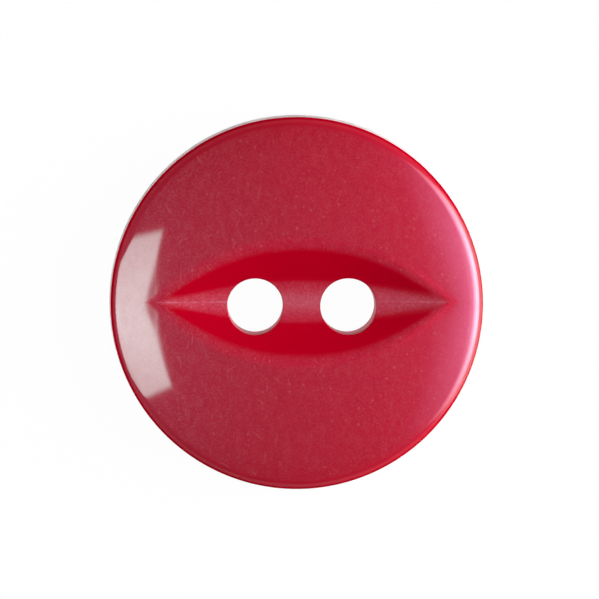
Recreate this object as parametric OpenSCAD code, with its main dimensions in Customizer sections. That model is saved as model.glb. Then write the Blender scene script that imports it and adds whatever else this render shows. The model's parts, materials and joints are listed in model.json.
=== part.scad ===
// Fish-eye sewing button: a turned disc with a domed face, a lens-shaped groove and two thread holes.
// It lies on its back. The origin is the centre of the back, +Z points out of the face and
// the groove runs along X.

/* [Blank] */
// Outside diameter of the button at its widest, just above the back
diameter = 16.5; // [12:0.5:22]
// Height from the flat back to the top of the dome, before the eye is cut
thickness = 3.2; // [2.8:0.1:4.5]
// Height of the dome over a flat face of the same diameter
dome_rise = 1; // [0.6:0.05:1.2]
// Lean of the side towards the face, in degrees
side_draft = 4.5; // [0:0.5:8]
// Rounding between the face and the side
rim_round = 0.65; // [0.3:0.05:0.8]
// Rounding between the side and the back
back_round = 0.4; // [0.2:0.05:0.7]

/* [Fish eye] */
// Distance from each tip of the eye to the edge of the button
tip_margin = 1.65; // [1.2:0.05:2.4]
// Width of the eye across its middle
eye_width = 4.9; // [3.5:0.1:6]
// Depth of the eye at its middle, below the top of the dome
eye_depth = 1.15; // [1:0.05:1.6]
// Width of the shallow floor at the middle of the eye
floor_width = 1.7; // [0.8:0.1:2.4]
// Slope of the floor on each side of the crease, in degrees
floor_slope = 8; // [4:1:12]
// Distance between the end of the floor and the tip of the eye
tip_land = 0.25; // [0.05:0.05:0.4]
// Rounding of the lip where the eye meets the face
lip_round = 0.9; // [0.2:0.05:1]
// Distance of the eye and the holes from the axis of the blank, along the eye
eye_offset = 0.2; // [0:0.05:0.4]
// Distance of the crease from the axis of the blank, across the eye
eye_lift = 0.1; // [0:0.05:0.3]

/* [Thread holes] */
// Diameter of each hole
hole_d = 2.44; // [1.5:0.02:3]
// Distance between the centres of the holes
hole_pitch = 4.06; // [3.4:0.02:5]
// Distance of the holes from the crease of the eye
hole_drop = 0.2; // [0:0.05:0.4]
// Rounding of each hole's edge at the back
hole_round = 0.15; // [0.05:0.05:0.3]

/* [Hidden] */
$fn = 160;

// Cuts reach this far past the faces that they go through
over = 0.5;
// Roundings cross the faces that they end on at this small angle, in degrees
cross = 5;
// Facets in a whole turn of the large tools that cut the eye
tool_fn = 480;
// Facets in a whole turn of the balls that cut the flanks
ball_fn = 240;

radius = diameter / 2;
hole_r = hole_d / 2;

// The side touches the back's arc and leans in from there.
back_centre = [radius - back_round, back_round];
side_out = [cos(side_draft), sin(side_draft)];
side_up = [-sin(side_draft), cos(side_draft)];
side_start = back_centre + back_round * side_out;

// The dome is part of a sphere. The rim's arc touches that sphere from inside, and touches the side.
face_radius = (pow(radius, 2) + pow(dome_rise, 2)) / (2 * dome_rise);
dome_z = thickness - face_radius;
dome_centre = [0, dome_z];
rim_along = (side_start - dome_centre) * side_out - rim_round;
rim_height = sqrt(pow(face_radius - rim_round, 2) - pow(rim_along, 2));
rim_centre = dome_centre + rim_along * side_out + rim_height * side_up;
rim_lean = atan2(rim_centre.x, rim_centre.y - dome_z);
dome_out = [sin(rim_lean), cos(rim_lean)];

// Each side of the eye is a circle on the dome through both tips, so its axis leans at the dome's centre.
half_length = radius - tip_margin;
half_width = eye_width / 2;
side_lean = asin(half_width / face_radius);
end_lean = asin(half_length / face_radius);
axis_lean = atan2(cos(side_lean) - cos(end_lean), sin(side_lean));
lip_lean = side_lean + axis_lean;
lip = face_radius * [sin(lip_lean), cos(lip_lean)];
// The eye as a whole is swung about the dome's centre to its place beside the axis.
eye_swing = asin(eye_offset / face_radius);
eye_roll = asin(eye_lift / face_radius);

// The crease drops below the dome at the middle and comes back to it just inside the tips.
crease = face_radius - eye_depth;
floor_reach = half_length - tip_land;
floor_rise = sqrt(pow(face_radius, 2) - pow(floor_reach, 2)) - crease;
wheel_radius = (pow(floor_reach, 2) + pow(floor_rise, 2)) / (2 * floor_rise);

// Each flank is cut by a large ball, which passes through the lip and the edge of the floor.
floor_half = floor_width / 2;
foot = [floor_half, crease + floor_half * tan(floor_slope)];
foot_z = foot.y * cos(axis_lean) - foot.x * sin(axis_lean);
ball_z = (pow(face_radius, 2) - foot * foot) / (2 * (lip.y - foot_z));
ball_radius = norm([lip.x, lip.y - ball_z]);

// The lip's arc crosses the dome and the ball. Its centre is where two circles about their centres meet.
from_dome = pow(face_radius, 2) + pow(lip_round, 2) - 2 * face_radius * lip_round * cos(cross);
from_ball = pow(ball_radius, 2) + pow(lip_round, 2) + 2 * ball_radius * lip_round * cos(cross);
arc_z = (from_dome - from_ball + pow(ball_z, 2)) / (2 * ball_z);
arc_centre = [sqrt(from_dome - pow(arc_z, 2)), arc_z];
to_dome = arc_centre / norm(arc_centre);
to_ball = ([0, ball_z] - arc_centre) / norm([0, ball_z] - arc_centre);

// How far the side is from the axis at one height
function side_x(z) = side_start.x - (z - side_start.y) * tan(side_draft);

// Half of the button's outline, from the axis outwards
module outline() {
    difference() {
        intersection() {
            translate(dome_centre) circle(face_radius, $fn = 8 * tool_fn);
            polygon([[0, 0], [side_x(0), 0], [side_x(thickness), thickness], [0, thickness]]);
        }
        rim_corner();
        back_corner();
    }
}

// What the rim's rounding takes off the outline
module rim_corner() {
    far = rim_round + over;
    translate(rim_centre)
        difference() {
            polygon([[0, 0], far * side_out, far * (side_out + dome_out), far * dome_out]);
            circle(rim_round);
        }
}

// What the back's rounding takes off the outline
module back_corner() {
    far = back_round + over;
    translate(back_centre)
        difference() {
            polygon([[0, 0], [0, -far], [far, -far], far * [1, tan(side_draft)]]);
            circle(back_round);
        }
}

module blank() {
    rotate_extrude() outline();
}

// Ball that cuts the flank on one side of the crease
module flank_ball(side) {
    rotate([side * axis_lean, 0, 0])
        translate([0, 0, ball_z])
            rotate([0, -90, 0]) sphere(ball_radius, $fn = ball_fn);
}

// Ring that rounds the lip on one side of the crease
module lip_ring(side) {
    far = lip_round + over;
    rotate([side * axis_lean, 0, 0])
        rotate_extrude($fn = tool_fn)
            translate(arc_centre)
                difference() {
                    polygon([[0, 0], far * to_dome, far * to_ball]);
                    circle(lip_round);
                }
}

// Wheel with a shallow V-shaped rim, which cuts the floor
module floor_wheel() {
    reach = half_width + over;
    edge = wheel_radius - reach * tan(floor_slope);
    translate([0, 0, crease + wheel_radius])
        rotate([90, 0, 0])
            rotate_extrude($fn = 4 * tool_fn)
                polygon([[0, -reach], [edge, -reach], [wheel_radius, 0], [edge, reach], [0, reach]]);
}

// Takes the eye's tools from the dome's centre, where they are made, to the eye's place in the face
module place_eye() {
    translate([0, 0, dome_z])
        rotate([-eye_roll, eye_swing, 0]) children();
}

// The lens-shaped groove: what both balls and the wheel would all take away
module groove() {
    intersection() {
        flank_ball(1);
        flank_ball(-1);
        floor_wheel();
    }
}

// What the rounded lip on one side takes away, as far as the other side's ball reaches
module lip_cut(side) {
    intersection() {
        lip_ring(side);
        flank_ball(-side);
        floor_wheel();
    }
}

// One hole with its rounded edge at the back
module thread_hole() {
    rotate_extrude() {
        translate([0, -over]) square([hole_r, thickness + 2 * over]);
        difference() {
            translate([0, -over]) square([hole_r + hole_round, over + hole_round * cos(cross)]);
            translate([hole_r + hole_round, hole_round * cos(cross)]) circle(hole_round);
        }
    }
}

module button() {
    color([0.69, 0.02, 0.13])
        difference() {
            blank();
            place_eye() groove();
            place_eye() lip_cut(1);
            place_eye() lip_cut(-1);
            for (side = [-1, 1])
                translate([eye_offset + side * hole_pitch / 2, eye_lift - hole_drop, 0]) thread_hole();
        }
}

button();
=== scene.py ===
"""Looks of a fish-eye sewing button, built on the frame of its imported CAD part.

The button is turned from a cast sheet with a red pearl face on a pale backing. All sizes below are in
millimetres and all colours are sRGB; both are converted where they enter Blender.
"""

import json
import logging
import math
from dataclasses import dataclass
from enum import Enum
from functools import cached_property
from typing import Any

import bmesh
import bpy
from mathutils import Matrix, Vector


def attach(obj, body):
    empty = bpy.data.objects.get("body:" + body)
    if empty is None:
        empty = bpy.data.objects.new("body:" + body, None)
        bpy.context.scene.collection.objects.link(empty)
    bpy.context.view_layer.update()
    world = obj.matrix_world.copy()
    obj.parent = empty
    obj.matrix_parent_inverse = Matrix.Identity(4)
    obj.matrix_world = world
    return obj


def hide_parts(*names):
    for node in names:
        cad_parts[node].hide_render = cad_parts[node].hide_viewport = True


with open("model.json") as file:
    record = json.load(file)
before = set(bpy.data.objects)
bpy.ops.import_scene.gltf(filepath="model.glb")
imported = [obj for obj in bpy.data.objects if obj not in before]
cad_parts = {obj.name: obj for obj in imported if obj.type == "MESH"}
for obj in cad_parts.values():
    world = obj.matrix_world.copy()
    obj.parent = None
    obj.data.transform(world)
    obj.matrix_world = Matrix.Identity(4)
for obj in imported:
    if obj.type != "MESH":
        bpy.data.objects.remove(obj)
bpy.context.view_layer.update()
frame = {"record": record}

MM = 0.001
# Points closer than this are one point
WELD = 1e-6
# A point this close to the top of the flat blank lies on its face
ON_FACE = 1e-5
log = logging.getLogger("button")


def linear(colour: str) -> tuple[float, float, float, float]:
    """Convert an sRGB hex colour to Blender's linear colour.

    Args:
        colour: Six hex digits, with or without a leading hash.

    Returns:
        Linear red, green and blue, and an alpha of 1.
    """
    digits = colour.lstrip("#")
    values = [int(digits[i : i + 2], 16) / 255 for i in (0, 2, 4)]
    red, green, blue = [
        v / 12.92 if v <= 0.04045 else ((v + 0.055) / 1.055) ** 2.4 for v in values
    ]
    return red, green, blue, 1.0


def soft_max(a: float, b: float, width: float) -> float:
    """Return the larger of two values, with the change between them rounded.

    Args:
        a: First value.
        b: Second value.
        width: Difference between the values up to which the rounding reaches.

    Returns:
        The rounded maximum.
    """
    inside = max(width - abs(a - b), 0.0)
    return max(a, b) + inside**2 / (4 * width)


def taper(share: float, inner: float, outer: float) -> float:
    """Return what is left of a lens's size on the way from its middle to its tip.

    Args:
        share: Place between the middle, 0, and the tip, 1.
        inner: Power that keeps the middle full.
        outer: Power that draws the tip out.

    Returns:
        Share of the size at the middle.
    """
    return (1 - share**inner) ** outer


def mesh_object(bm: bmesh.types.BMesh, name: str) -> bpy.types.Object:
    """Turn a mesh in progress into an object in the scene.

    Args:
        bm: The mesh, which is freed.
        name: Name of the object.

    Returns:
        The object at the origin.
    """
    mesh = bpy.data.meshes.new(name)
    bm.to_mesh(mesh)
    bm.free()
    item = bpy.data.objects.new(name, mesh)
    bpy.context.scene.collection.objects.link(item)
    return item


@dataclass(frozen=True)
class Blank:
    """The turned disc before the eye is cut, in millimetres."""

    radius: float = 8.25
    thickness: float = 3.2
    dome_rise: float = 1.0
    side_draft: float = math.radians(4.5)
    rim_round: float = 0.65
    back_round: float = 0.4
    shoulder: float = 0.06
    shoulder_start: float = 5.2
    shoulder_power: int = 3
    # About how far out on the rim's rounding the face ends, as a share of its radius
    rim_share: float = 0.3

    @cached_property
    def face_radius(self) -> float:
        """Radius of the sphere that the domed face is part of."""
        return (self.radius**2 + self.dome_rise**2) / (2 * self.dome_rise)

    @cached_property
    def dome_centre(self) -> Vector:
        """Radius and height of the middle of that sphere."""
        return Vector((0, self.thickness - self.face_radius))

    @cached_property
    def back_centre(self) -> Vector:
        """Radius and height of the middle of the arc between the side and the back."""
        return Vector((self.radius - self.back_round, self.back_round))

    @cached_property
    def rim_centre(self) -> Vector:
        """Radius and height of the middle of the arc between the face and the side."""
        out = Vector((math.cos(self.side_draft), math.sin(self.side_draft)))
        up = Vector((-out.y, out.x))
        along = (self.back_centre - self.dome_centre).dot(out) + self.back_round - self.rim_round
        height = math.sqrt((self.face_radius - self.rim_round) ** 2 - along**2)
        return self.dome_centre + along * out + height * up

    @cached_property
    def rim_lean(self) -> float:
        """Angle from the axis, in radians, at which the face turns into the rim."""
        edge = self.rim_centre.x + self.rim_round * self.rim_share
        sphere = edge / math.sqrt(self.face_radius**2 - edge**2)
        grain_wear_and_sheen = self.shoulder_power * self.shoulder / (edge - self.shoulder_start)
        return math.atan(sphere + grain_wear_and_sheen)

    @cached_property
    def face_edge(self) -> float:
        """Radius at which the face turns into the rim."""
        return self.rim_centre.x + self.rim_round * math.sin(self.rim_lean)

    @cached_property
    def rim_drop(self) -> float:
        """How far the shoulder lowers the rim's arc."""
        top = self.rim_centre.y + self.rim_round * math.cos(self.rim_lean)
        return top - self.dome(self.face_edge, 0.0)

    def dome(self, x: float, y: float) -> float:
        """Return the height of the uncut face over a point of the back.

        Args:
            x: Place along the eye.
            y: Place across the eye.

        Returns:
            Height above the back, with the shoulder worn down towards the rim.
        """
        out = (math.hypot(x, y) - self.shoulder_start) / (self.face_edge - self.shoulder_start)
        sphere = self.dome_centre.y + math.sqrt(self.face_radius**2 - x * x - y * y)
        return sphere - self.shoulder * max(out, 0.0) ** self.shoulder_power


@dataclass(frozen=True)
class Eye:
    """The lens-shaped groove across the face, in millimetres."""

    blank: Blank
    offset: float = 0.235
    lift: float = 0.1
    half_length: float = 6.39
    half_width: float = 2.56
    depth: float = 1.15
    floor_slope: float = math.radians(8)
    flank_slope: float = math.radians(31.2)
    lip_soft: float = 0.3
    floor_soft: float = 0.1
    dish_depth: float = 0.042
    dish_reach: float = 0.8
    dish_soft: float = 0.35
    # Distance from the rim over which the dish fades out
    dish_fade: float = 1.6
    # Powers by which the eye's outline and its crease taper towards the tips
    outline_powers: tuple[float, float] = (2.3, 1.22)
    crease_powers: tuple[float, float] = (2.4, 1.3)
    # How fast the outline and the crease go on past the tips
    past_tip_slopes: tuple[float, float] = (0.5, 0.1)
    # How much sharper the lip is at the tips, and the power by which it gets there
    tip_sharpness: float = 0.75
    tip_power: int = 4

    @cached_property
    def arc_radius(self) -> float:
        """Radius of the two arcs that bound the eye in plan."""
        return (self.half_length**2 + self.half_width**2) / (2 * self.half_width)

    def reach(self, angle: float) -> float:
        """Return how far the eye's outline is from its middle in one direction.

        Args:
            angle: Direction in plan, in radians from the length of the eye.

        Returns:
            Distance to the outline.
        """
        below = self.arc_radius - self.half_width
        lean = abs(math.sin(angle)) * below
        return math.sqrt(lean**2 + self.arc_radius**2 - below**2) - lean

    def cut(self, u: float, v: float) -> float:
        """Return how far the eye is cut below the dome before its lip is rounded.

        Args:
            u: Place along the eye, from its middle.
            v: Place across the eye, from its middle.

        Returns:
            Depth of the flank or the floor, whichever is higher; below 0 outside the eye.
        """
        past_tip = abs(u) - self.half_length
        if past_tip > 0:
            width, crease = (-slope * past_tip for slope in self.past_tip_slopes)
        else:
            share = abs(u) / self.half_length
            width = self.half_width * taper(share, *self.outline_powers)
            crease = self.depth * taper(share, *self.crease_powers)
        flank = (width - abs(v)) * math.tan(self.flank_slope)
        floor = crease - abs(v) * math.tan(self.floor_slope)
        return -soft_max(-flank, -floor, self.floor_soft)

    def height(self, x: float, y: float) -> float:
        """Return the height of the cut face over a point of the back.

        Args:
            x: Place along the eye, from the axis of the blank.
            y: Place across the eye, from the axis of the blank.

        Returns:
            Height above the back. The lip is rounded, less so at the tips, and polishing has left a
            slight dish round the eye, which ends before the rim.
        """
        cut = self.cut(x - self.offset, y - self.lift)
        share = min(abs(x - self.offset) / self.half_length, 1.0)
        soft = self.lip_soft * (1 - self.tip_sharpness * share**self.tip_power)
        inside = min(max((self.blank.face_edge - math.hypot(x, y)) / self.dish_fade, 0.0), 1.0)
        gap = math.hypot(min(cut, 0.0), self.dish_soft) - self.dish_soft
        dish = self.dish_depth * math.exp(-gap / self.dish_reach)
        dish *= inside * inside * (3 - 2 * inside)
        return self.blank.dome(x, y) - dish - soft_max(cut, 0.0, soft)


@dataclass(frozen=True)
class Hole:
    """One thread hole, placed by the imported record's mount, in millimetres."""

    x: float
    y: float
    radius: float
    back_round: float = 0.15
    mouth_round: float = 0.03
    # Angles, in radians, at which the roundings cross the back and the floor of the eye
    back_cross: float = math.radians(8)
    mouth_cross: float = math.radians(15)
    round_steps: int = 6

    @classmethod
    def from_mount(cls, mount: dict[str, Any]) -> "Hole":
        """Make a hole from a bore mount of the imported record.

        Args:
            mount: The mount, with its place in metres and its radius in millimetres.

        Returns:
            The hole.
        """
        x, y, _ = mount["pos_m"]
        return cls(x / MM, y / MM, mount["dims"]["r_mm"])


class Step(Enum):
    """How a ramp gets from its start to its end."""

    SMOOTH = "SMOOTHSTEP"
    LINEAR = "LINEAR"


@dataclass(frozen=True)
class Fade:
    """A step of one value over another: where it starts and ends, and what it goes from and to."""

    low: float
    high: float
    start: float = 0.0
    end: float = 1.0

    def moved(self, by: float) -> "Fade":
        """Return the same fade starting and ending further on."""
        return Fade(self.low + by, self.high + by, self.start, self.end)


class Graph:
    """A node tree of a material or a lamp, with one way to add a node."""

    def __init__(self, tree: bpy.types.NodeTree) -> None:
        """Take a node tree to add to.

        Args:
            tree: The tree.
        """
        self.tree = tree

    def add(self, kind: str, inputs: dict[Any, Any] | None = None, **settings: Any) -> bpy.types.Node:
        """Add a node, set it and link it.

        Args:
            kind: Node type without the ShaderNode prefix.
            inputs: Input name or number to a constant or to another node's output socket.
            **settings: Properties of the node itself.

        Returns:
            The new node.
        """
        node = self.tree.nodes.new("ShaderNode" + kind)
        for name, value in settings.items():
            setattr(node, name, value)
        for name, value in (inputs or {}).items():
            if isinstance(value, bpy.types.NodeSocket):
                self.tree.links.new(value, node.inputs[name])
            else:
                node.inputs[name].default_value = value
        return node

    def math(self, operation: str, *values: Any, clamp: bool = False) -> bpy.types.NodeSocket:
        """Add a math node.

        Args:
            operation: Blender's name of the operation.
            *values: Its inputs, each a number or an output socket.
            clamp: Whether the result is kept from 0 to 1.

        Returns:
            The output socket.
        """
        node = self.add("Math", dict(enumerate(values)), operation=operation, use_clamp=clamp)
        return node.outputs[0]

    def ramp(self, value: Any, fade: Fade, step: Step = Step.SMOOTH) -> bpy.types.NodeSocket:
        """Add a step from one value to another.

        Args:
            value: Number or output socket that is stepped on.
            fade: Where the step starts and ends, and from what to what it goes.
            step: Whether it is smooth or straight.

        Returns:
            The output socket.
        """
        inputs = {
            "Value": value,
            "From Min": fade.low,
            "From Max": fade.high,
            "To Min": fade.start,
            "To Max": fade.end,
        }
        return self.add("MapRange", inputs, interpolation_type=step.value).outputs[0]

    def mix(self, factor: Any, a: Any, b: Any) -> bpy.types.NodeSocket:
        """Add a colour mix.

        Args:
            factor: Share of the second colour.
            a: First colour, as a constant or an output socket.
            b: Second colour.

        Returns:
            The output socket.
        """
        return self.add("Mix", {0: factor, 6: a, 7: b}, data_type="RGBA").outputs[2]

    def millimetres(
        self, scale: tuple[float, float, float] = (1, 1, 1), turn: float = 0.0
    ) -> bpy.types.NodeSocket:
        """Add the object's own coordinates in millimetres.

        Args:
            scale: Stretch of the coordinates along each axis.
            turn: Turn about the button's axis, in radians, before the stretch.

        Returns:
            The output socket.
        """
        place = self.add("TexCoord").outputs["Object"]
        turned = self.add("Mapping", {"Vector": place, "Rotation": (0, 0, turn)})
        scaled = {"Vector": turned.outputs[0], "Scale": tuple(s / MM for s in scale)}
        return self.add("Mapping", scaled).outputs[0]

    def parts(self, vector: bpy.types.NodeSocket) -> tuple[bpy.types.NodeSocket, ...]:
        """Split a vector.

        Args:
            vector: Output socket with the vector.

        Returns:
            The sockets of its three parts.
        """
        return tuple(self.add("SeparateXYZ", {0: vector}).outputs)


@dataclass(frozen=True)
class Pattern:
    """One kind of mark in the pearl: its size in millimetres, and how its texture fades into the mark."""

    size: float
    mark: Fade


@dataclass(frozen=True)
class PearlFinish:
    """Red pearl polyester on a pale backing, polished on the face and left duller on the eye's floor, which
    also has a painted sheen.
    """

    eye: Eye
    holes: tuple[Hole, ...]
    red: str = "#B00020"
    cut_red: str = "#B80020"
    haze: str = "#E6B0B0"
    dull_and_sheen: str = "#C48C9A"
    backing: str = "#EBD9DA"
    # Painted red glow of the backing in the holes, and its painted shade towards the back
    wall_red_glow: str = "#F07884"
    wall_shade: str = "#C05462"
    glow: str = "#FF7098"
    # Height at which the red starts, and how sharply; and how far up the holes the wall's lower edge is
    # darkened with painted shade
    layer_height: float = 1.8
    layer_blur: Fade = Fade(-0.03, 0.03)
    wall_shade_height: Fade = Fade(0.15, 0.5)
    # The pale band on the eye's floor, partly its dull finish and partly a painted sheen brightest along the
    # crease: a bell at the middle, which a wedge takes over from towards the tips
    band_half: float = 1.05
    band_taper: float = 0.115
    band_least: float = 0.05
    band_growth: Fade = Fade(-4.0, 4.0, 0.85, 1.2)
    bell_width: float = 0.33
    bell_height: float = 1.3
    wedge_start: Fade = Fade(0.8, 2.6)
    wedge_fall: Fade = Fade(0.0, 1.1, 0.8, 0.0)
    tip_slope: float = 0.5
    tip_end: Fade = Fade(-0.2, 0.1, 1.0, 0.0)
    # The grain's share in the floor's pale colour, which is its matt finish and a painted sheen, and how it
    # is weaker to the left
    floor_matt_and_sheen: Fade = Fade(0.3, 0.7, 0.14, 0.24)
    floor_matt_and_sheen_side: Fade = Fade(-4.5, -1.0, 0.75, 1.0)
    # The fine light line along the crease
    line_width: Fade = Fade(0.01, 0.045, 1.0, 0.0)
    line_start: Fade = Fade(2.9, 3.3)
    line_end: Fade = Fade(-0.5, 0.0, 1.0, 0.0)
    line_gap: Pattern = Pattern(0.2, Fade(0.4, 0.6, 0.3, 1.0))
    line_side: Fade = Fade(-2.0, 4.0, 0.3, 0.18)
    # Real pearl flakes are finer than a pixel of the render, so the grain is drawn about two pixels wide
    grain: Pattern = Pattern(0.085, Fade(0.4, 0.75, 0.0, 0.045))
    grain_relief: float = 0.006
    mottle: Pattern = Pattern(0.3, Fade(0.4, 0.75, 0.0, 0.026))
    mottle_stretch: tuple[float, float, float] = (1.0, 0.6, 1.0)
    # How much stronger the grain is drawn towards the left, as a painted sheen of the window light
    left_painted_sheen: Fade = Fade(-6.5, 0.0, 1.9, 1.0)
    # Specks, and hair scratches in sets, each with its direction and its share that shows
    speck: Pattern = Pattern(0.3, Fade(0.06, 0.28, 0.1, 0.0))
    speck_chance: Fade = Fade(0.5, 0.9)
    scratch: Pattern = Pattern(0.8, Fade(0.06, 0.25, 0.12, 0.0))
    scratch_sets: tuple[tuple[float, float], ...] = ((0.25, 0.3), (-0.7, 0.2))
    scratch_draw: Fade = Fade(1.0, 1.05)
    scratch_stretch: tuple[float, float, float] = (7.0, 0.5, 0.0)
    scratch_bend: tuple[float, float, float] = (9.0, 0.6, 0.0)
    bend_size: float = 2.0
    scratch_side: Fade = Fade(-3.0, 3.0, 1.0, 0.3)
    # Where the walls of the holes are: close to a hole's radius, and steep
    wall_near: Fade = Fade(0.05, 0.25, 1.0, 0.0)
    wall_steep: Fade = Fade(0.25, 0.6, 1.0, 0.0)
    wall_gloss: float = 0.1
    # How the polish depends on the lean of the surface, on the place and on the wear
    face_flat: Fade = Fade(0.9, 0.97)
    gloss: Fade = Fade(0.55, 0.78, 0.0, 0.5)
    coat_end: Fade = Fade(0.74, 0.85)
    coat_side: Fade = Fade(5.5, 8.0, 0.0, 0.32)
    coat_gap: Fade = Fade(0.14, 0.38, 1.0, 0.0)
    coat_mottle: Fade = Fade(0.35, 0.7, 1.0, 0.88)
    coat_wear: float = 1.5
    roughness: float = 0.5
    ior: float = 1.8
    coat_roughness: float = 0.06
    coat_ior: float = 2.0

    def along_across(self, graph: Graph) -> tuple[bpy.types.NodeSocket, bpy.types.NodeSocket]:
        """Add the distances from the middle of the eye along and across it.

        Args:
            graph: Node tree to add to.

        Returns:
            The sockets of both distances.
        """
        x, y, _ = graph.parts(graph.millimetres())
        along = graph.math("ABSOLUTE", graph.math("SUBTRACT", x, self.eye.offset))
        across = graph.math("ABSOLUTE", graph.math("SUBTRACT", y, self.eye.lift))
        return along, across

    def floor_share(self, graph: Graph) -> bpy.types.NodeSocket:
        """Add the mask of the dull floor and its painted sheen: a soft band at the middle and a wedge
        towards each tip.

        Args:
            graph: Node tree to add to.

        Returns:
            Socket with about 1 on the floor, most at its middle, and 0 on the flanks and the face.
        """
        along, across = self.along_across(graph)
        x = graph.parts(graph.millimetres())[0]
        wide = graph.math("MULTIPLY_ADD", along, -self.band_taper, self.band_half)
        to_tip = graph.math("SUBTRACT", self.eye.half_length, along)
        narrow = graph.math("MINIMUM", wide, graph.math("MULTIPLY", to_tip, self.tip_slope))
        half = graph.math("MAXIMUM", narrow, self.band_least)
        half = graph.math("MULTIPLY", half, graph.ramp(x, self.band_growth))
        wedge = graph.ramp(graph.math("DIVIDE", across, half), self.wedge_fall)
        spread = graph.math("POWER", graph.math("DIVIDE", across, self.bell_width), 2.0)
        bell = graph.math("EXPONENT", graph.math("MULTIPLY", spread, -0.5))
        peak = graph.math("MULTIPLY", bell, self.bell_height)
        towards_tip = graph.ramp(along, self.wedge_start)
        both = graph.math("MULTIPLY_ADD", towards_tip, graph.math("SUBTRACT", wedge, peak), peak)
        inside = graph.ramp(along, self.tip_end.moved(self.eye.half_length))
        return graph.math("MULTIPLY", both, inside)

    def eye_share(self, graph: Graph) -> bpy.types.NodeSocket:
        """Add the mask of the whole eye and the narrow strip of face round its lip.

        Args:
            graph: Node tree to add to.

        Returns:
            Socket with 1 in the eye and at its lip, and 0 on the rest of the face.
        """
        eye = self.eye
        along, across = self.along_across(graph)
        out = graph.math("ADD", across, eye.arc_radius - eye.half_width)
        flat = graph.add("CombineXYZ", {0: along, 1: out}).outputs[0]
        far = graph.add("VectorMath", {0: flat}, operation="LENGTH").outputs["Value"]
        return graph.ramp(far, self.coat_gap.moved(eye.arc_radius))

    def crease_line(self, graph: Graph) -> bpy.types.NodeSocket:
        """Add the mask of the fine broken line along the crease, outside the holes.

        Args:
            graph: Node tree to add to.

        Returns:
            Socket with 1 on the line.
        """
        along, across = self.along_across(graph)
        line = graph.ramp(across, self.line_width)
        outside = graph.ramp(along, self.line_start)
        inside = graph.ramp(along, self.line_end.moved(self.eye.half_length))
        gaps = {"Vector": graph.millimetres(), "Scale": 1 / self.line_gap.size}
        noise = graph.add("TexNoise", gaps).outputs[0]
        broken = graph.math("MULTIPLY", line, graph.ramp(noise, self.line_gap.mark))
        return graph.math("MULTIPLY", broken, graph.math("MULTIPLY", outside, inside))

    def specks(self, graph: Graph) -> bpy.types.NodeSocket:
        """Add the mask of fine pale specks in the pearl.

        Args:
            graph: Node tree to add to.

        Returns:
            Socket with the specks' amount in the middle of a speck.
        """
        inputs = {"Vector": graph.millimetres(), "Scale": 1 / self.speck.size}
        cells = graph.add("TexVoronoi", inputs).outputs
        chance = graph.add("SeparateColor", {0: cells["Color"]}).outputs[0]
        dot = graph.ramp(cells["Distance"], self.speck.mark)
        return graph.math("MULTIPLY", dot, graph.ramp(chance, self.speck_chance))

    def scratches(self, graph: Graph, turn: float, chance: float) -> bpy.types.NodeSocket:
        """Add the mask of one set of short bent hair scratches.

        Args:
            graph: Node tree to add to.
            turn: Direction of the scratches, in radians from the width of the eye.
            chance: Share of the possible scratches that show.

        Returns:
            Socket with the scratches' amount on a scratch.
        """
        slow = {"Vector": graph.millimetres(), "Scale": 1 / self.bend_size, "Detail": 0.0}
        wave = graph.add("TexNoise", slow).outputs["Color"]
        bend = graph.add("VectorMath", {0: wave, 1: self.scratch_bend}, operation="MULTIPLY")
        place = graph.millimetres(self.scratch_stretch, turn)
        bent = graph.add("VectorMath", {0: place, 1: bend.outputs[0]}, operation="ADD").outputs[0]
        cells = graph.add("TexVoronoi", {"Vector": bent, "Scale": 1 / self.scratch.size}).outputs
        thin = graph.ramp(cells["Distance"], self.scratch.mark)
        draw = graph.add("SeparateColor", {0: cells["Color"]}).outputs[0]
        return graph.math("MULTIPLY", thin, graph.ramp(draw, self.scratch_draw.moved(-chance)))

    def wall_share(self, graph: Graph, up: bpy.types.NodeSocket) -> bpy.types.NodeSocket:
        """Add the mask of the walls of the thread holes.

        Args:
            graph: Node tree to add to.
            up: How far the surface faces up.

        Returns:
            Socket with 1 on the walls.
        """
        flat = graph.millimetres((1, 1, 0))
        # The gap to the nearest hole, from a start that is past every wall
        gap: Any = 1.0
        for hole in self.holes:
            middle = {0: flat, 1: (hole.x, hole.y, 0)}
            far = graph.add("VectorMath", middle, operation="DISTANCE").outputs["Value"]
            gap = graph.math("MINIMUM", gap, graph.math("SUBTRACT", far, hole.radius))
        near = graph.ramp(gap, self.wall_near)
        return graph.math("MULTIPLY", near, graph.ramp(up, self.wall_steep))

    def material(self) -> bpy.types.Material:
        """Make the material.

        Returns:
            The finished material.
        """
        material = bpy.data.materials.new("red_pearl_polyester")
        material.use_nodes = True
        material.node_tree.nodes.clear()
        graph = Graph(material.node_tree)
        up = graph.parts(graph.add("TexCoord").outputs["Normal"])[2]
        x, _, z = graph.parts(graph.millimetres())
        # Pearl grain: soft mottles, a little longer across the eye, with a finer grain in them, drawn
        # stronger to the left as a painted sheen of the window light
        upright = {"Vector": graph.millimetres(self.mottle_stretch), "Scale": 1 / self.mottle.size}
        mottle = graph.add("TexNoise", {**upright, "Detail": 4.0, "Roughness": 0.7}).outputs[0]
        fine = {"Vector": graph.millimetres(), "Scale": 1 / self.grain.size, "Detail": 2.0}
        grain = graph.add("TexNoise", fine).outputs[0]
        cloud = graph.math("ADD", graph.ramp(mottle, self.mottle.mark), graph.ramp(grain, self.grain.mark))
        cloud = graph.math("MULTIPLY", cloud, graph.ramp(x, self.left_painted_sheen))
        # Wear: specks, and two sets of hair scratches that are mostly on the left
        sets = (self.scratches(graph, turn, chance) for turn, chance in self.scratch_sets)
        hairs = graph.math("MULTIPLY", graph.math("MAXIMUM", *sets), graph.ramp(x, self.scratch_side))
        wear = graph.math("MAXIMUM", self.specks(graph), hairs)
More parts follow.
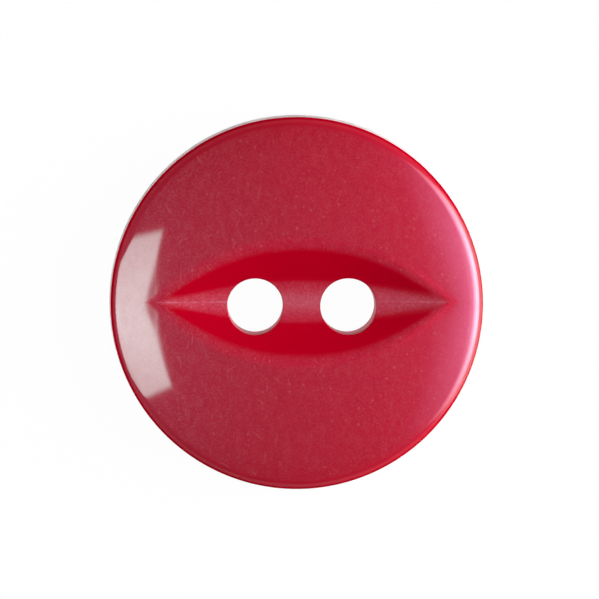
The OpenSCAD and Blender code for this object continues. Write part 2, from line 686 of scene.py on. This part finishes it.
        # On the steep flanks the whitish grain and the wear are left off, painted: the pearl's sheen doesn't
        # show at that lean
        flat = graph.ramp(up, self.face_flat)
        grain_wear_and_sheen = graph.math("MULTIPLY", graph.math("ADD", cloud, wear), flat)
        red = graph.mix(flat, linear(self.cut_red), linear(self.red))
        face = graph.mix(grain_wear_and_sheen, red, linear(self.haze))
        # Dull floor of the eye, paler also by a painted sheen, with the light line of its crease
        floor_matt_and_sheen = graph.ramp(grain, self.floor_matt_and_sheen)
        floor_matt_and_sheen = graph.math("MULTIPLY", floor_matt_and_sheen, graph.ramp(x, self.floor_matt_and_sheen_side))
        floor = graph.math("MULTIPLY", self.floor_share(graph), floor_matt_and_sheen)
        line = graph.math("MULTIPLY", self.crease_line(graph), graph.ramp(x, self.line_side))
        face = graph.mix(graph.math("ADD", floor, line), face, linear(self.dull_and_sheen))
        # The pale backing starts at one height all round; in the holes it takes a painted red glow, with
        # painted shade towards the back
        bore = graph.mix(graph.ramp(z, self.wall_shade_height), linear(self.wall_shade), linear(self.wall_red_glow))
        bores = self.wall_share(graph, up)
        under = graph.mix(bores, linear(self.backing), bore)
        layer = graph.ramp(z, self.layer_blur.moved(self.layer_height))
        bump = graph.add("Bump", {"Height": grain, "Distance": self.grain_relief * MM, "Strength": 1.0})
        # The gloss ends on the flanks and where the rim turns to the side, and the coat just outside the lip
        eye = self.eye_share(graph)
        steep = graph.math("MULTIPLY", eye, graph.math("SUBTRACT", 1.0, flat))
        gloss = graph.ramp(up, self.gloss)
        gloss = graph.math("MULTIPLY", gloss, graph.math("SUBTRACT", 1.0, steep))
        gloss = graph.math("MAXIMUM", gloss, graph.math("MULTIPLY", bores, self.wall_gloss))
        coat = graph.ramp(graph.math("ADD", up, graph.ramp(x, self.coat_side)), self.coat_end)
        coat = graph.math("MULTIPLY", coat, graph.math("SUBTRACT", 1.0, eye))
        coat = graph.math("MULTIPLY", coat, graph.ramp(mottle, self.coat_mottle))
        coat = graph.math("SUBTRACT", coat, graph.math("MULTIPLY", wear, self.coat_wear), clamp=True)
        shader = graph.add(
            "BsdfPrincipled",
            {
                "Base Color": graph.mix(layer, under, face),
                "Roughness": self.roughness,
                "IOR": self.ior,
                "Specular Tint": linear(self.glow),
                "Specular IOR Level": gloss,
                "Coat Weight": coat,
                "Coat Roughness": self.coat_roughness,
                "Coat IOR": self.coat_ior,
                "Normal": bump.outputs[0],
            },
        )
        graph.add("OutputMaterial", {"Surface": shader.outputs[0]})
        return material


@dataclass
class Button:
    """The whole button: one turned, grooved and drilled piece."""

    blank: Blank
    eye: Eye
    holes: tuple[Hole, ...]
    finish: PearlFinish
    turns: int = 480
    lens_rings: int = 44
    face_rings: int = 52
    rim_steps: int = 16
    back_steps: int = 8
    back_rings: int = 6
    drill_turns: int = 128
    # How far the drill reaches below the back; it reaches twice as far above the face
    drill_over: float = 1.0
    # Powers that gather the rings in the eye and on the face at the lip
    lens_gather: float = 1.35
    face_gather: float = 1.2
    sharp_angle: float = math.radians(40)

    def outline(self) -> list[tuple[float, float]]:
        """Return the lathe profile from the middle of the face to the middle of the back.

        Returns:
            Radius and height of each point. The face is still flat; its rings are placed later.
        """
        blank = self.blank
        rings = self.lens_rings + self.face_rings
        points = [Vector((blank.face_edge * i / rings, blank.thickness)) for i in range(rings)]
        rim_start = math.pi / 2 - blank.rim_lean
        for i in range(self.rim_steps + 1):
            angle = rim_start + (blank.side_draft - rim_start) * i / self.rim_steps
            arc = blank.rim_round * Vector((math.cos(angle), math.sin(angle)))
            points.append(blank.rim_centre - Vector((0, blank.rim_drop)) + arc)
        for i in range(self.back_steps + 1):
            angle = blank.side_draft - (blank.side_draft + math.pi / 2) * i / self.back_steps
            arc = blank.back_round * Vector((math.cos(angle), math.sin(angle)))
            points.append(blank.back_centre + arc)
        for i in range(1, self.back_rings + 1):
            points.append(Vector((blank.back_centre.x * (1 - i / self.back_rings), 0)))
        return [(point.x, point.y) for point in points]

    def lathe(self, points: list[tuple[float, float]], turns: int) -> bmesh.types.BMesh:
        """Spin a profile round the button's axis to a closed mesh.

        Args:
            points: Radius and height of each point, starting and ending on the axis.
            turns: Number of steps in the whole turn.

        Returns:
            The new mesh, in millimetres.
        """
        bm = bmesh.new()
        verts = [bm.verts.new((r, 0, z)) for r, z in points]
        edges = [bm.edges.new(pair) for pair in zip(verts, verts[1:])]
        turn = {"cent": (0, 0, 0), "axis": (0, 0, 1), "angle": math.tau, "steps": turns}
        bmesh.ops.spin(bm, geom=verts + edges, use_merge=True, **turn)
        bmesh.ops.remove_doubles(bm, verts=bm.verts, dist=WELD)
        bmesh.ops.recalc_face_normals(bm, faces=bm.faces)
        return bm

    def shape_face(self, bm: bmesh.types.BMesh) -> None:
        """Gather the flat face's rings to the eye's outline and set their heights.

        Args:
            bm: The spun blank, changed in place.
        """
        blank, eye = self.blank, self.eye
        middle = Vector((eye.offset, eye.lift, 0))
        share = self.lens_rings / (self.lens_rings + self.face_rings)
        for vert in bm.verts:
            if vert.co.z < blank.thickness - ON_FACE:
                continue
            angle = math.atan2(vert.co.y, vert.co.x)
            ray = Vector((math.cos(angle), math.sin(angle), 0))
            lip = middle + ray * eye.reach(angle)
            ring = math.hypot(vert.co.x, vert.co.y) / blank.face_edge / share
            if ring <= 1:
                spot = middle.lerp(lip, 1 - (1 - ring) ** self.lens_gather)
            else:
                out = ((ring - 1) * share / (1 - share)) ** self.face_gather
                spot = lip.lerp(ray * blank.face_edge, out)
            vert.co = (spot.x, spot.y, eye.height(spot.x, spot.y))

    def drill_tool(self, hole: Hole) -> bpy.types.Object:
        """Make the cutter for one hole, flared at the back and at its mouth in the eye.

        Args:
            hole: The hole to cut.

        Returns:
            The cutter, in millimetres.
        """
        base, steps = self.blank.thickness, hole.round_steps
        points = [(0.0, -self.drill_over), (hole.radius + hole.back_round, -self.drill_over)]
        for i in range(steps + 1):
            angle = hole.back_cross + (math.pi / 2 - hole.back_cross) * i / steps
            out = hole.radius + hole.back_round * (1 - math.sin(angle))
            points.append((out, hole.back_round * (math.cos(hole.back_cross) - math.cos(angle))))
        for i in range(steps + 1):
            angle = math.pi / 2 - (math.pi / 2 - hole.mouth_cross) * i / steps
            out = hole.radius + hole.mouth_round * (1 - math.sin(angle))
            points.append((out, base + hole.mouth_round * (math.cos(angle) - math.cos(hole.mouth_cross))))
        top = base + 2 * self.drill_over
        points += [(hole.radius + hole.mouth_round, top), (0.0, top)]
        bm = self.lathe(points, self.drill_turns)
        bmesh.ops.translate(bm, verts=bm.verts, vec=(hole.x, hole.y, 0))
        for vert in bm.verts:
            if base - 2 * hole.mouth_round < vert.co.z < base + self.drill_over:
                vert.co.z += self.eye.height(vert.co.x, vert.co.y) - base
        return mesh_object(bm, "drill")

    def drill(self, piece: bpy.types.Object) -> None:
        """Cut the holes through the button.

        Args:
            piece: The button, changed in place.
        """
        for hole in self.holes:
            tool = self.drill_tool(hole)
            cut = piece.modifiers.new("cut", "BOOLEAN")
            cut.operation = "DIFFERENCE"
            cut.solver = "EXACT"
            cut.object = tool
            with bpy.context.temp_override(object=piece, active_object=piece):
                bpy.ops.object.modifier_apply(modifier=cut.name)
            bpy.data.objects.remove(tool)

    def build(self) -> bpy.types.Object:
        """Build the button, dress it and put it in the frame.

        Returns:
            The finished piece.
        """
        bm = self.lathe(self.outline(), self.turns)
        self.shape_face(bm)
        piece = mesh_object(bm, "button_body")
        self.drill(piece)
        scaled = bmesh.new()
        scaled.from_mesh(piece.data)
        bmesh.ops.scale(scaled, vec=(MM, MM, MM), verts=scaled.verts)
        for face in scaled.faces:
            face.smooth = True
        scaled.to_mesh(piece.data)
        scaled.free()
        piece.data.set_sharp_from_angle(angle=self.sharp_angle)
        piece.data.materials.append(self.finish.material())
        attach(piece, "root")
        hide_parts("button")
        return piece


@dataclass(frozen=True)
class PaperFloor:
    """White paper with a raised edge a hair below the button, white to the eye but still with its shadow."""

    paper: str = "#F7F7F7"
    glow_share: float = 0.975
    radius: float = 550.0
    edge_round: float = 160.0
    edge_turn: float = math.radians(60)
    gap: float = 0.01
    segments: int = 96
    edge_steps: int = 8

    def material(self) -> bpy.types.Material:
        """Make the material.

        Returns:
            The finished material.
        """
        material = bpy.data.materials.new("white_paper")
        material.use_nodes = True
        material.node_tree.nodes.clear()
        graph = Graph(material.node_tree)
        rays = graph.add("LightPath").outputs
        mirrored = graph.math("ADD", rays["Is Glossy Ray"], rays["Is Transmission Ray"])
        seen = graph.math("ADD", rays["Is Camera Ray"], mirrored, clamp=True)
        paper = graph.add("BsdfDiffuse", {"Color": linear(self.paper)})
        glow = graph.add("Emission", {"Color": (1, 1, 1, 1), "Strength": 1.0})
        share = graph.math("MULTIPLY", seen, self.glow_share)
        both = graph.add("MixShader", {0: share, 1: paper.outputs[0], 2: glow.outputs[0]})
        graph.add("OutputMaterial", {"Surface": both.outputs[0]})
        return material

    def build(self) -> bpy.types.Object:
        """Add the floor.

        Returns:
            The floor.
        """
        bm = bmesh.new()
        bmesh.ops.create_circle(bm, cap_ends=True, segments=self.segments, radius=self.radius * MM)
        rim = [edge for edge in bm.edges if edge.is_boundary]
        for step in range(1, self.edge_steps + 1):
            angle = self.edge_turn * step / self.edge_steps
            out = self.radius + self.edge_round * math.sin(angle)
            height = self.edge_round * (1 - math.cos(angle))
            grown = bmesh.ops.extrude_edge_only(bm, edges=rim)["geom"]
            rim = [g for g in grown if isinstance(g, bmesh.types.BMEdge)]
            for vert in (g for g in grown if isinstance(g, bmesh.types.BMVert)):
                flat = Vector((vert.co.x, vert.co.y, 0)).normalized()
                vert.co = (flat * out + Vector((0, 0, height))) * MM
        bmesh.ops.translate(bm, verts=bm.verts, vec=(0, 0, -self.gap * MM))
        bmesh.ops.recalc_face_normals(bm, faces=bm.faces)
        floor = mesh_object(bm, "paper_floor")
        floor.data.materials.append(self.material())
        return floor


class Reach(Enum):
    """What a lamp lights: both the matt and the glossy part of a surface, or only one of them."""

    ALL = "all"
    MATT = "matt"
    GLOSS = "gloss"


@dataclass(frozen=True)
class Edge:
    """A soft edge of a lamp: light starts where a sum of the shares along its two sides is large enough."""

    first: float
    second: float
    start: float
    soft: float
    step: Step = Step.SMOOTH


@dataclass(frozen=True)
class Softbox:
    """A rectangular studio light that faces the button, in millimetres and radians."""

    name: str
    lean: float
    turn: float
    size: tuple[float, float]
    radiance: float
    reach: Reach = Reach.ALL
    distance: float = 300.0
    shift: float = 0.0
    colour: str = "#FFFFFF"
    edges: tuple[Edge, ...] = ()

    def fade(self, lamp: bpy.types.Light) -> None:
        """Fade the lamp's light out at its soft edges.

        Args:
            lamp: The lamp, changed in place.
        """
        lamp.use_nodes = True
        graph = Graph(lamp.node_tree)
        first, second, _ = graph.parts(graph.add("NewGeometry").outputs["Parametric"])
        light: Any = 1.0
        for edge in self.edges:
            part = graph.math("MULTIPLY", second, edge.second)
            place = graph.math("MULTIPLY_ADD", first, edge.first, part)
            grown = graph.ramp(place, Fade(edge.start, edge.start + edge.soft), edge.step)
            light = graph.math("MULTIPLY", light, grown)
        emission = next(node for node in lamp.node_tree.nodes if node.type == "EMISSION")
        lamp.node_tree.links.new(light, emission.inputs["Strength"])

    def build(self) -> bpy.types.Object:
        """Add the lamp.

        Returns:
            The lamp object.
        """
        lamp = bpy.data.lights.new(self.name, "AREA")
        lamp.shape = "RECTANGLE"
        lamp.size, lamp.size_y = (side * MM for side in self.size)
        lamp.energy = self.radiance * math.pi * lamp.size * lamp.size_y
        lamp.color = linear(self.colour)[:3]
        if self.edges:
            self.fade(lamp)
        item = bpy.data.objects.new(self.name, lamp)
        turned = Matrix.Rotation(self.turn, 4, "Z") @ Matrix.Rotation(self.lean, 4, "Y")
        item.matrix_world = turned @ Matrix.Translation((0, self.shift * MM, self.distance * MM))
        item.visible_diffuse = self.reach is not Reach.GLOSS
        item.visible_glossy = self.reach is not Reach.MATT
        bpy.context.scene.collection.objects.link(item)
        return item


@dataclass(frozen=True)
class Camera:
    """The photo's camera, close above the button with the top of the photo along +Y."""

    field_mm: float = 26.185
    distance: float = 110.0
    lean_up: float = math.radians(3.0)
    lean_left: float = math.radians(1.2)
    aim: tuple[float, float, float] = (0.111, 0.173, 1.6)
    sensor: float = 36.0
    nearest: float = 10.0
    farthest: float = 5000.0

    def build(self) -> bpy.types.Object:
        """Add the camera and make it the scene's own.

        Returns:
            The camera object.
        """
        camera = bpy.data.cameras.new("camera")
        camera.sensor_width = self.sensor
        camera.lens = self.sensor * self.distance / self.field_mm
        camera.clip_start, camera.clip_end = self.nearest * MM, self.farthest * MM
        item = bpy.data.objects.new("camera", camera)
        away = Vector((-math.sin(self.lean_left), math.sin(self.lean_up), 0))
        away.z = math.sqrt(1 - away.length_squared)
        right = Vector((0, 1, 0)).cross(away).normalized()
        up = away.cross(right)
        item.matrix_world = Matrix((right, up, away)).transposed().to_4x4()
        item.location = (Vector(self.aim) + away * self.distance) * MM
        bpy.context.scene.collection.objects.link(item)
        bpy.context.scene.camera = item
        return item


@dataclass(frozen=True)
class Studio:
    """Floor, lamps, room light and camera, as in the photo: nearly straight down on white."""

    floor: PaperFloor
    lamps: tuple[Softbox, ...]
    camera: Camera
    room: float = 0.03

    def build(self) -> None:
        """Add the floor, the lamps, the room light and the camera."""
        self.floor.build()
        for lamp in self.lamps:
            lamp.build()
        world = bpy.data.worlds.new("dim_room")
        world.use_nodes = True
        background = world.node_tree.nodes["Background"].inputs
        background["Color"].default_value = (1, 1, 1, 1)
        background["Strength"].default_value = self.room
        bpy.context.scene.world = world
        self.camera.build()


def photo_lamps() -> tuple[Softbox, ...]:
    """Return the lamps that the photo's light and reflections point to.

    Returns:
        The lamps.
    """
    degrees = math.radians
    straight = Step.LINEAR
    # Both glows fade towards all four sides, and share the fade at their ends
    ends = (
        Edge(first=0, second=1, start=0, soft=0.4, step=straight),
        Edge(first=0, second=-1, start=-1, soft=0.4, step=straight),
    )
    glow_edges = (
        Edge(first=1, second=0, start=0.19, soft=0.38, step=straight),
        Edge(first=-1, second=0, start=-1.3, soft=0.7, step=straight),
        *ends,
    )
    pearl_edges = (
        Edge(first=1, second=0, start=0.1, soft=0.4, step=straight),
        Edge(first=-1, second=0, start=-1.0, soft=0.44, step=straight),
        *ends,
    )
    # A window with a slanting lower end, a little dimmer towards both ends
    window_edges = (
        Edge(first=-1, second=-0.0411, start=-0.9983, soft=0.02),
        Edge(first=1, second=0, start=0, soft=0.02),
        Edge(first=0, second=-1, start=-1, soft=0.05),
        Edge(first=-0.494, second=1, start=-0.2468, soft=0.04),
        Edge(first=0, second=1, start=-0.72, soft=1.25, step=straight),
        Edge(first=0, second=-1, start=-1.9, soft=1.3, step=straight),
    )
    return (
        Softbox(
            "key_right", lean=degrees(62), turn=degrees(4), size=(200.0, 260.0), radiance=8.75,
            reach=Reach.MATT,
        ),
        Softbox(
            "fill_left", lean=degrees(-74), turn=0.0, size=(150.0, 200.0), radiance=3.3,
            reach=Reach.MATT,
        ),
        Softbox(
            "fill_top", lean=0.0, turn=0.0, size=(800.0, 800.0), radiance=0.68,
            reach=Reach.MATT, distance=700.0,
        ),
        Softbox(
            "key_glow", lean=degrees(60), turn=degrees(2), size=(436.0, 540.0), radiance=7.8,
            reach=Reach.GLOSS, colour="#F7ECFF", edges=glow_edges,
        ),
        Softbox(
            "pearl_glow", lean=degrees(42), turn=degrees(2), size=(260.0, 440.0), radiance=2.0,
            reach=Reach.GLOSS, colour="#D4BCFA", edges=pearl_edges,
        ),
        Softbox(
            "window_left", lean=degrees(-50), turn=0.0, size=(328.0, 229.0), radiance=5.15,
            reach=Reach.GLOSS, shift=-50.0, colour="#D4F8F5", edges=window_edges,
        ),
        Softbox(
            "top_sheen", lean=degrees(1.4), turn=0.0, size=(900.0, 900.0), radiance=0.022,
            reach=Reach.ALL, distance=700.0, shift=-46.0,
        ),
    )


def main() -> None:
    """Build the button and the studio round it, and report the pieces."""
    logging.basicConfig(level=logging.INFO, format="%(message)s")
    bpy.context.scene.view_settings.view_transform = "Standard"
    blank = Blank()
    eye = Eye(blank)
    holes = tuple(Hole.from_mount(m) for m in frame["record"]["mounts"] if m["kind"] == "bore")
    piece = Button(blank, eye, holes, PearlFinish(eye, holes)).build()
    log.info("%s: %d faces", piece.name, len(piece.data.polygons))
    Studio(PaperFloor(), photo_lamps(), Camera()).build()


if __name__ == "__main__":
    main()
